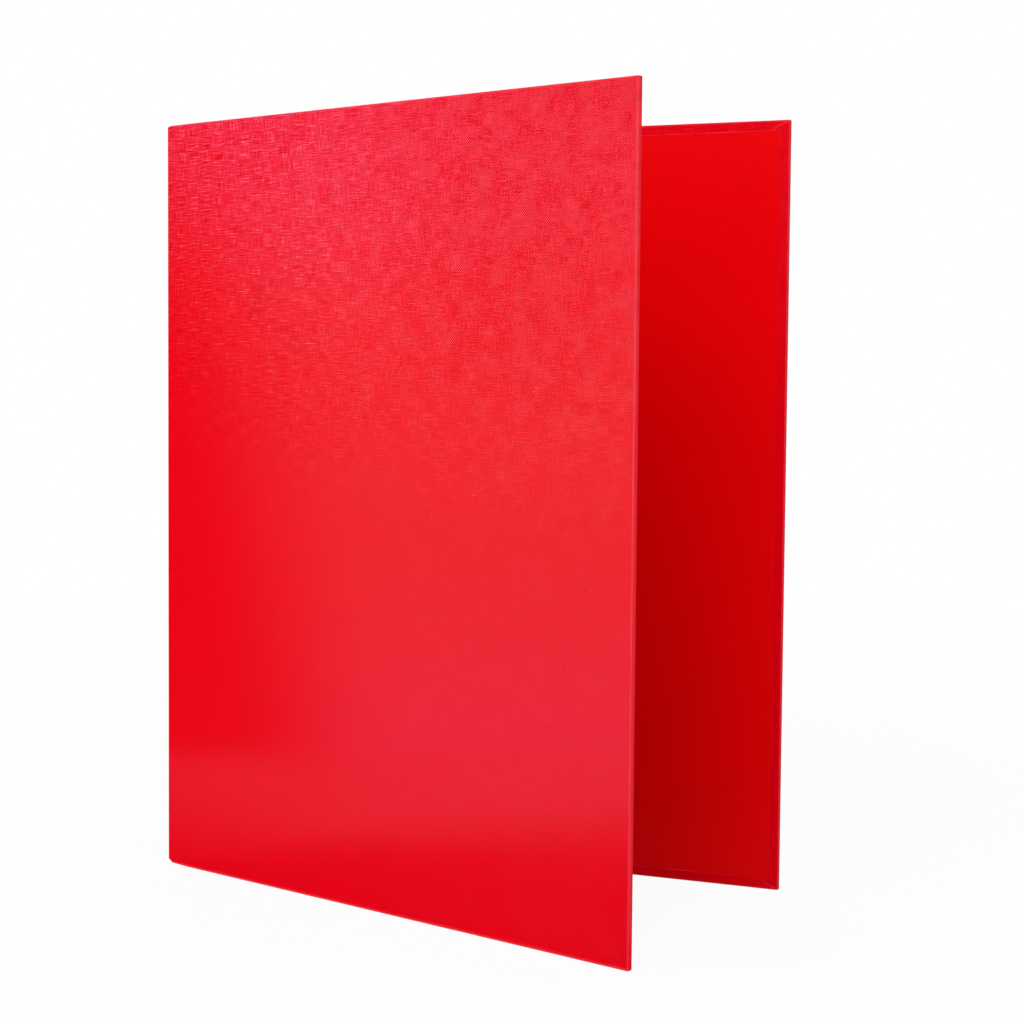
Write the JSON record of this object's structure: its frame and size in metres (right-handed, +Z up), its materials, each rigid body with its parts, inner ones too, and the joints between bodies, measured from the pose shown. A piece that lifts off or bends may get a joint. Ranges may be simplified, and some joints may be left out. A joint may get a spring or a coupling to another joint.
{
  "type": "ring binder",
  "caption": "Upright board binder covered in red linen-grain sheet, covers part open, with a D-ring mechanism, end levers and hinged covers.",
  "frame": {"origin": "middle of the spine's foot, half way through its thickness, where the binder stands", "axes": "+X across the spine to the front cover, +Y from the spine into the binder, +Z up along the spine"},
  "size_m": [0.1468, 0.2551, 0.318],
  "materials": {
    "linen_sheet": "linen-embossed satin covering sheet",
    "lining_paper": "smooth satin lining",
    "grey_board": "raw grey board",
    "nickel_steel": "nickel-plated sheet steel",
    "ring_wire": "polished nickel-plated wire"
  },
  "bodies": {
    "spine": {"spine_outer_sheet": "linen_sheet", "spine_board": "grey_board", "spine_lining": "lining_paper", "front_hinge_cloth": "linen_sheet", "rear_hinge_cloth": "linen_sheet"},
    "front_cover": {"front_outer_sheet": "linen_sheet", "front_board": "grey_board", "front_lining": "lining_paper"},
    "rear_cover": {"rear_outer_sheet": "linen_sheet", "rear_board": "grey_board", "rear_lining": "lining_paper", "mechanism_housing": "nickel_steel", "upper_rivet": "nickel_steel", "lower_rivet": "nickel_steel", "upper_lever_pin": "nickel_steel", "lower_lever_pin": "nickel_steel"},
    "spine_side_jaws": {"spine_side_blade": "nickel_steel", "curved_half_ring_1": "ring_wire", "curved_half_ring_2": "ring_wire", "curved_half_ring_3": "ring_wire", "curved_half_ring_4": "ring_wire"},
    "fore_side_jaws": {"fore_side_blade": "nickel_steel", "straight_half_ring_1": "ring_wire", "straight_half_ring_2": "ring_wire", "straight_half_ring_3": "ring_wire", "straight_half_ring_4": "ring_wire"},
    "upper_lever": {"upper_lever": "nickel_steel"},
    "lower_lever": {"lower_lever": "nickel_steel"}
  },
  "joints": [
    {"name": "front_cover_hinge", "type": "hinge", "parent": "spine", "child": "front_cover", "pos_m": [0.035, -0.00115, 0], "axis": [0, 0, -1], "range_deg": [-17.3, 162.7], "deforming": ["front_hinge_cloth"]},
    {"name": "rear_cover_hinge", "type": "hinge", "parent": "spine", "child": "rear_cover", "pos_m": [-0.035, -0.00115, 0], "axis": [0, 0, 1], "range_deg": [0, 180], "deforming": ["rear_hinge_cloth"]},
    {"name": "ring_opening", "type": "hinge", "parent": "rear_cover", "child": "spine_side_jaws", "pos_m": [-0.0277, 0.02235, 0.159], "axis": [0, 0, -1], "range_deg": [0, 16]},
    {"name": "fore_side_jaws_turn", "type": "hinge", "parent": "rear_cover", "child": "fore_side_jaws", "pos_m": [-0.0277, 0.05735, 0.159], "axis": [0, 0, 1], "range_deg": [0, 16]},
    {"name": "upper_lever_turn", "type": "hinge", "parent": "rear_cover", "child": "upper_lever", "pos_m": [-0.0274, 0.03985, 0.29693], "axis": [0, -1, 0], "range_deg": [0, 32]},
    {"name": "lower_lever_turn", "type": "hinge", "parent": "rear_cover", "child": "lower_lever", "pos_m": [-0.0274, 0.03985, 0.02107], "axis": [0, 1, 0], "range_deg": [0, 32]}
  ],
  "couplings": [
    {"joint": "fore_side_jaws_turn", "follows": "ring_opening", "ratio": 1},
    {"joint": "upper_lever_turn", "follows": "ring_opening", "ratio": 2},
    {"joint": "lower_lever_turn", "follows": "ring_opening", "ratio": 2}
  ]
}
